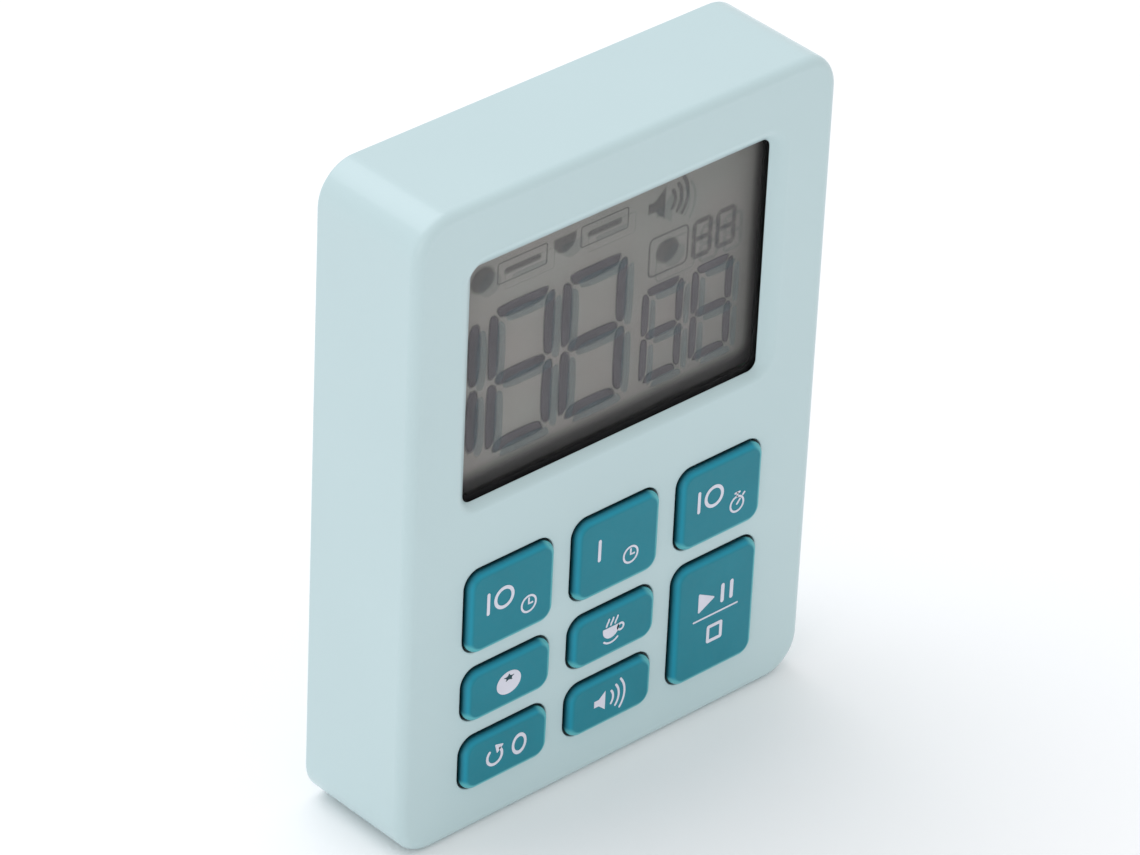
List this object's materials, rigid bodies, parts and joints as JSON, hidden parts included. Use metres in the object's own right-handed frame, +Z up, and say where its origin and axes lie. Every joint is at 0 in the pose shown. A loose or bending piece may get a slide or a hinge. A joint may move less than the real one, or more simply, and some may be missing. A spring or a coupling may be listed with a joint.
{
  "type": "digital kitchen timer",
  "caption": "Upright handheld digital kitchen timer: pale blue case, recessed display window, soft teal push keys, battery compartment behind.",
  "frame": {"origin": "middle of the bounding box at the bottom, on the surface that the timer stands on", "axes": "+X to the right seen from the front, +Y towards the back, +Z up; the display and keys face -Y"},
  "size_m": [0.0704, 0.0196, 0.095],
  "materials": {
    "case_plastic": "glossy moulded ABS, pale blue-green",
    "cover_plastic": "fine satin texture, pale blue-green",
    "door_plastic": "fine satin texture, pale blue-green",
    "clear_window": "polished clear acrylic",
    "black_tape": "matt black adhesive tape",
    "black_foam": "matt black foam",
    "polariser": "satin neutral film",
    "display_glass": "polished thin glass",
    "reflector": "fine silver-grey film",
    "clamp_plastic": "plain white moulding",
    "zebra_rubber": "pink silicone with black carbon layers",
    "board_laminate": "green solder mask over copper tracks",
    "black_resin": "smooth cured epoxy",
    "tin_plate": "drawn bright can",
    "capacitor_ceramic": "tan ceramic with tinned ends",
    "resistor_black": "black glaze with tinned ends",
    "buzzer_brass": "thin rolled brass",
    "buzzer_white": "silvered piezo ceramic",
    "cell_wrap": "printed shrink wrap, steel ends",
    "contact_nickel": "nickel-plated spring steel",
    "wire_red": "soft PVC",
    "wire_black": "soft PVC",
    "screw_steel": "zinc-plated pan head",
    "key_rubber": "matt silicone rubber, dark teal, printed pale marks",
    "carbon_rubber": "conductive carbon rubber"
  },
  "bodies": {
    "case": {"front_case": "case_plastic", "rear_cover": "cover_plastic", "display_lens": "clear_window", "case_screws": "screw_steel", "lens_tape": "black_tape", "display_gasket": "black_foam", "front_polariser": "polariser", "lcd_front_glass": "display_glass", "lcd_rear_glass": "display_glass", "rear_polariser": "reflector", "display_clamp": "clamp_plastic", "zebra_connector": "zebra_rubber", "circuit_board": "board_laminate", "chip_blob": "black_resin", "crystal_can": "tin_plate", "chip_capacitors": "capacitor_ceramic", "chip_resistors": "resistor_black", "buzzer_disc": "buzzer_brass", "buzzer_ceramic": "buzzer_white", "battery_upper": "cell_wrap", "battery_lower": "cell_wrap", "positive_contact": "contact_nickel", "negative_contact": "contact_nickel", "link_contact": "contact_nickel", "battery_wire_red": "wire_red", "battery_wire_black": "wire_black", "buzzer_wires": "wire_red", "board_screws": "screw_steel", "keypad_web": "key_rubber", "skirt_ten_minutes": "key_rubber", "skirt_one_minute": "key_rubber", "skirt_ten_seconds": "key_rubber", "skirt_tomato": "key_rubber", "skirt_cup": "key_rubber", "skirt_clear": "key_rubber", "skirt_volume": "key_rubber", "skirt_start_stop": "key_rubber"},
    "ten_minutes_key": {"key_ten_minutes": "key_rubber", "pill_ten_minutes": "carbon_rubber"},
    "one_minute_key": {"key_one_minute": "key_rubber", "pill_one_minute": "carbon_rubber"},
    "ten_seconds_key": {"key_ten_seconds": "key_rubber", "pill_ten_seconds": "carbon_rubber"},
    "tomato_key": {"key_tomato": "key_rubber", "pill_tomato": "carbon_rubber"},
    "cup_key": {"key_cup": "key_rubber", "pill_cup": "carbon_rubber"},
    "clear_key": {"key_clear": "key_rubber", "pill_clear": "carbon_rubber"},
    "volume_key": {"key_volume": "key_rubber", "pill_volume": "carbon_rubber"},
    "start_stop_key": {"key_start_stop": "key_rubber", "pill_start_stop": "carbon_rubber"},
    "battery_door": {"battery_door": "door_plastic"}
  },
  "joints": [
    {"name": "ten_minutes_press", "type": "slide", "parent": "case", "child": "ten_minutes_key", "axis": [0, 1, 0], "range_m": [0, 0.0009], "stiffness_N_per_m": 1500, "deforming": ["skirt_ten_minutes"]},
    {"name": "one_minute_press", "type": "slide", "parent": "case", "child": "one_minute_key", "axis": [0, 1, 0], "range_m": [0, 0.0009], "stiffness_N_per_m": 1500, "deforming": ["skirt_one_minute"]},
    {"name": "ten_seconds_press", "type": "slide", "parent": "case", "child": "ten_seconds_key", "axis": [0, 1, 0], "range_m": [0, 0.0009], "stiffness_N_per_m": 1500, "deforming": ["skirt_ten_seconds"]},
    {"name": "tomato_press", "type": "slide", "parent": "case", "child": "tomato_key", "axis": [0, 1, 0], "range_m": [0, 0.0009], "stiffness_N_per_m": 1500, "deforming": ["skirt_tomato"]},
    {"name": "cup_press", "type": "slide", "parent": "case", "child": "cup_key", "axis": [0, 1, 0], "range_m": [0, 0.0009], "stiffness_N_per_m": 1500, "deforming": ["skirt_cup"]},
    {"name": "clear_press", "type": "slide", "parent": "case", "child": "clear_key", "axis": [0, 1, 0], "range_m": [0, 0.0009], "stiffness_N_per_m": 1500, "deforming": ["skirt_clear"]},
    {"name": "volume_press", "type": "slide", "parent": "case", "child": "volume_key", "axis": [0, 1, 0], "range_m": [0, 0.0009], "stiffness_N_per_m": 1500, "deforming": ["skirt_volume"]},
    {"name": "start_stop_press", "type": "slide", "parent": "case", "child": "start_stop_key", "axis": [0, 1, 0], "range_m": [0, 0.0009], "stiffness_N_per_m": 1500, "deforming": ["skirt_start_stop"]},
    {"name": "battery_door_lift", "type": "slide", "parent": "case", "child": "battery_door", "axis": [0, 1, 0], "range_m": [0, 0.025]}
  ]
}
